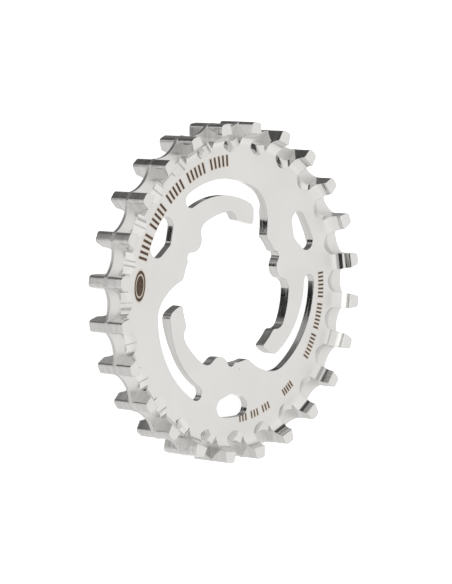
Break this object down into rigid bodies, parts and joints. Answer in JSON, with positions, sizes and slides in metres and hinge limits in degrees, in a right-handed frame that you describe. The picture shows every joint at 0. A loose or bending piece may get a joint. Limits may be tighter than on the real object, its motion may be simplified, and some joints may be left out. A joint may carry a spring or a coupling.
{
  "type": "belt drive sprocket",
  "caption": "Flat steel belt sprocket with a centre flange, open tooth gaps, lightening holes and curved spring arms round its hub seat.",
  "frame": {"origin": "centre of the circle on which the back ends of the teeth stand", "axes": "+Z along the axle line, out of the plain front face; +X through the middle of one tooth"},
  "size_m": [0.082, 0.082, 0.011],
  "materials": {
    "steel": "milled stainless steel, satin faces and brighter cut edges"
  },
  "bodies": {
    "root": {"sprocket": "steel"}
  },
  "joints": []
}
